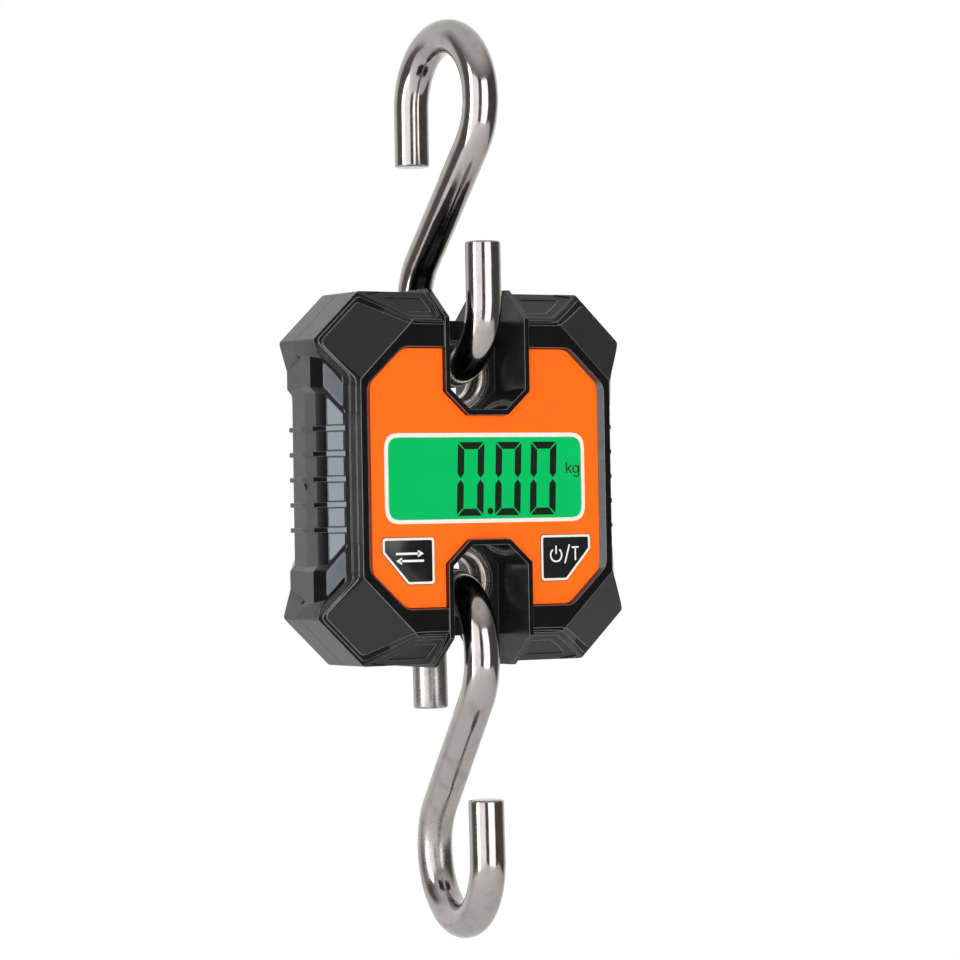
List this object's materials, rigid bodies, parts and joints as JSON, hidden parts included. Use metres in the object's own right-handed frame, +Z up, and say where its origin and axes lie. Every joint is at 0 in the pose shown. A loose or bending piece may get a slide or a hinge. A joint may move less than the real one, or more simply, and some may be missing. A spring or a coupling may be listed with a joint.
{
  "type": "digital fish scale",
  "caption": "Digital hanging scale: boxy plastic body with a backlit display and two keys round a steel load cell, with an S-hook through the eye at each end.",
  "frame": {"origin": "centre of the load cell, midway between the two eyes, on the load line", "axes": "+Z up along the load line, -Y out of the display, +X to the right as the display is read"},
  "size_m": [0.1004, 0.0484, 0.2608],
  "materials": {
    "hook_steel": "polished stainless rod",
    "case_black": "glossy and satin moulded ABS",
    "label_orange": "printed polyester label",
    "clear_lens": "clear acrylic",
    "key_black": "black key with white print",
    "lcd_green": "backlit green display glass",
    "diffuser_white": "white diffuser plastic",
    "strip_rubber": "layered conductive rubber",
    "board_green": "solder mask",
    "black_plastic": "moulded",
    "zinc_steel": "zinc plated",
    "cell_steel": "milled and nickel plated",
    "bush_steel": "turned",
    "gauge_foil": "foil gauge",
    "sealant_white": "silicone sealant",
    "cable_white": "PVC sheath",
    "battery_wrap": "plain battery sleeve",
    "contact_nickel": "nickel plated spring steel",
    "wire_red": "PVC",
    "wire_black": "PVC"
  },
  "bodies": {
    "upper_hook": {"upper_hook": "hook_steel"},
    "casing": {"front_shell": "case_black", "rear_shell": "case_black", "face_overlay": "label_orange", "display_lens": "clear_lens", "lcd_glass": "lcd_green", "lcd_backlight": "diffuser_white", "lcd_frame": "diffuser_white", "lcd_strips": "strip_rubber", "main_board": "board_green", "control_chip": "black_plastic", "unit_switch": "black_plastic", "power_switch": "black_plastic", "board_screws": "zinc_steel", "load_cell": "cell_steel", "upper_eye_bush": "bush_steel", "lower_eye_bush": "bush_steel", "strain_gauges": "gauge_foil", "gauge_sealant": "sealant_white", "cell_cable": "cable_white", "cell_blocks": "black_plastic", "cell_screws": "zinc_steel", "battery_tray": "black_plastic", "batteries": "battery_wrap", "battery_springs": "contact_nickel", "battery_plates": "contact_nickel", "battery_lead_red": "wire_red", "battery_lead_black": "wire_black", "shell_screws": "zinc_steel"},
    "lower_hook": {"lower_hook": "hook_steel"},
    "unit_key": {"unit_key": "key_black"},
    "power_key": {"power_key": "key_black"},
    "battery_cover": {"battery_cover": "case_black"}
  },
  "joints": [
    {"name": "body_swing", "type": "hinge", "parent": "upper_hook", "child": "casing", "pos_m": [0, 0, 0.0497], "axis": [1, 0, 0], "range_deg": [-55, 55]},
    {"name": "lower_hook_swing", "type": "hinge", "parent": "casing", "child": "lower_hook", "pos_m": [0.00027, 0, -0.0497], "axis": [0.9902, -0.1392, 0.013], "range_deg": [-55, 55]},
    {"name": "unit_key_press", "type": "slide", "parent": "casing", "child": "unit_key", "axis": [0, 1, 0], "range_m": [0, 0.0004], "stiffness_N_per_m": 4000},
    {"name": "power_key_press", "type": "slide", "parent": "casing", "child": "power_key", "axis": [0, 1, 0], "range_m": [0, 0.0004], "stiffness_N_per_m": 4000},
    {"name": "battery_cover_off", "type": "slide", "parent": "casing", "child": "battery_cover", "axis": [0, 1, 0], "range_m": [0, 0.02]}
  ]
}
